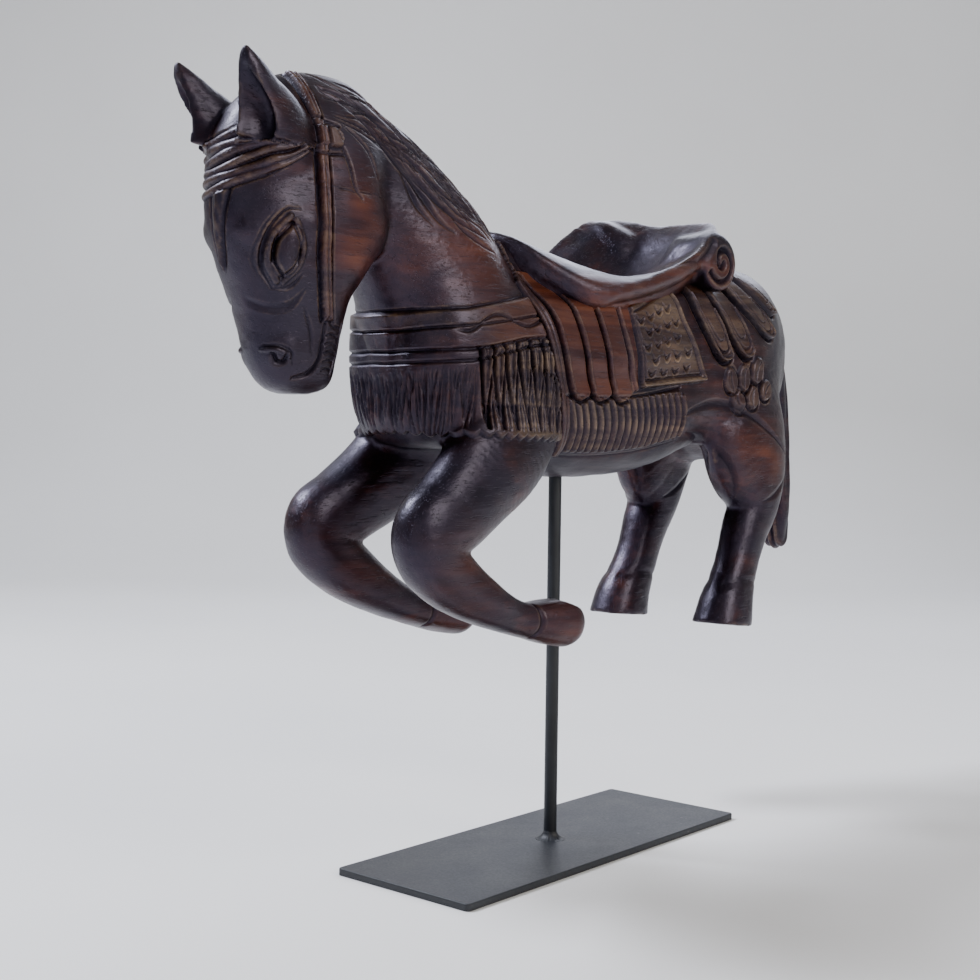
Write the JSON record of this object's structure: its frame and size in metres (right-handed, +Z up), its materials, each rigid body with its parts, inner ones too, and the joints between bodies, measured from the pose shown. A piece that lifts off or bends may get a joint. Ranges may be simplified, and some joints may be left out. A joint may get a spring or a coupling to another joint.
{
  "type": "carved horse figurine",
  "caption": "Dark-stained carved wooden horse with saddle and trappings, leaping, carried on a slim steel rod that stands on a flat rectangular steel plate.",
  "frame": {"origin": "middle of the base plate's underside, on the axis of the rod", "axes": "+Z up along the rod, the horse faces -Y, and its left side is +X"},
  "size_m": [0.0872, 0.4145, 0.323],
  "materials": {
    "carved_wood": "dark stain, waxed to a satin sheen and rubbed through to brown on the high spots",
    "dowel_wood": "plain turned hardwood",
    "black_steel": "matte black paint",
    "bare_steel": "drawn tube, uncoated"
  },
  "bodies": {
    "stand": {"base_plate": "black_steel", "support_rod": "black_steel", "weld_bead": "black_steel"},
    "sleeve": {"socket_sleeve": "bare_steel"},
    "carving": {"torso": "carved_wood", "neck": "carved_wood", "head": "carved_wood", "left_ear": "carved_wood", "right_ear": "carved_wood", "saddle": "carved_wood", "front_left_leg": "carved_wood", "front_right_leg": "carved_wood", "hind_left_leg": "carved_wood", "hind_right_leg": "carved_wood", "tail": "carved_wood", "neck_dowels": "dowel_wood", "head_dowels": "dowel_wood", "ear_dowels": "dowel_wood", "saddle_dowels": "dowel_wood", "leg_dowels": "dowel_wood", "tail_dowel": "dowel_wood"}
  },
  "joints": [
    {"name": "lift_off", "type": "slide", "parent": "stand", "child": "sleeve", "axis": [0, 0, 1], "range_m": [0, 0.06]},
    {"name": "swivel", "type": "hinge", "parent": "sleeve", "child": "carving", "pos_m": [0, 0, 0.213], "axis": [0, 0, 1], "continuous": true}
  ]
}
